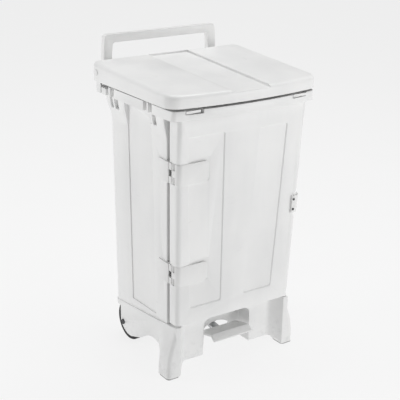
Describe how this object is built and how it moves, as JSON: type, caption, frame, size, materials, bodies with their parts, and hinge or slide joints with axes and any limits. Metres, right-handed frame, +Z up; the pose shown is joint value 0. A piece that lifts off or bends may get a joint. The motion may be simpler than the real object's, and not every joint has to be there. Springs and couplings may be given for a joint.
{
  "type": "pedal waste bin",
  "caption": "Tall pedal-operated waste bin with a hinged lid, a hinged front service door, rear wheels, front feet and a push handle.",
  "frame": {"origin": "on the floor, below the middle of the bin's bounding box in width and depth", "axes": "+Z up, front faces -Y, +X to the bin's left as it faces the viewer's right"},
  "size_m": [0.5164, 0.4766, 0.93],
  "materials": {
    "white_plastic": "moulded, satin white",
    "dark_plastic": "dark moulded",
    "black_rubber": "solid rubber",
    "grey_rubber": "soft pad",
    "steel": "zinc-plated"
  },
  "bodies": {
    "bin": {"tub": "white_plastic", "base": "white_plastic", "upper_hinge_block": "white_plastic", "lower_hinge_block": "white_plastic", "upper_hinge_pin": "steel", "lower_hinge_pin": "steel", "hinge_block_screws": "steel", "catch_magnet": "dark_plastic", "push_handle": "white_plastic", "handle_screws": "steel", "rod_cover": "white_plastic", "cover_screws": "steel", "pedal_axle": "steel", "wheel_axle": "steel", "axle_caps": "dark_plastic", "left_foot_pad": "grey_rubber", "right_foot_pad": "grey_rubber", "bag_ring": "white_plastic", "base_screws": "steel"},
    "lid": {"lid": "white_plastic", "left_lid_pin": "white_plastic", "right_lid_pin": "white_plastic", "lid_lever": "white_plastic", "lid_lever_screws": "steel", "lid_buffers": "grey_rubber"},
    "door": {"front_door": "white_plastic", "upper_hinge_strap": "white_plastic", "lower_hinge_strap": "white_plastic", "strap_screws": "steel", "door_pull": "white_plastic", "pull_screws": "dark_plastic", "catch_plate": "steel"},
    "pedal": {"pedal": "white_plastic", "pedal_lever": "steel", "pedal_screws": "steel", "rod_roller": "dark_plastic", "roller_pin": "steel"},
    "push_rod": {"push_rod": "steel"},
    "left_wheel": {"left_wheel_hub": "dark_plastic", "left_tyre": "black_rubber"},
    "right_wheel": {"right_wheel_hub": "dark_plastic", "right_tyre": "black_rubber"}
  },
  "joints": [
    {"name": "lid_hinge", "type": "hinge", "parent": "bin", "child": "lid", "pos_m": [0, 0.16075, 0.838], "axis": [-1, 0, 0], "range_deg": [0, 85]},
    {"name": "door_hinge", "type": "hinge", "parent": "bin", "child": "door", "pos_m": [-0.2037, -0.17257, 0.471], "axis": [0.0268, 0.0251, -0.9993], "range_deg": [0, 105]},
    {"name": "pedal_hinge", "type": "hinge", "parent": "bin", "child": "pedal", "pos_m": [0, -0.04425, 0.084], "axis": [1, 0, 0], "range_deg": [0, 16.29]},
    {"name": "rod_slide", "type": "slide", "parent": "bin", "child": "push_rod", "axis": [0, 0, 1], "range_m": [0, 0.0486]},
    {"name": "left_wheel_spin", "type": "hinge", "parent": "bin", "child": "left_wheel", "pos_m": [-0.1776, 0.09975, 0.0625], "axis": [1, 0, 0], "continuous": true},
    {"name": "right_wheel_spin", "type": "hinge", "parent": "bin", "child": "right_wheel", "pos_m": [0.1776, 0.09975, 0.0625], "axis": [1, 0, 0], "continuous": true}
  ],
  "couplings": [
    {"joint": "pedal_hinge", "follows": "lid_hinge", "ratio": 0.18928},
    {"joint": "rod_slide", "follows": "lid_hinge", "m_per_rad": 0.0324}
  ]
}
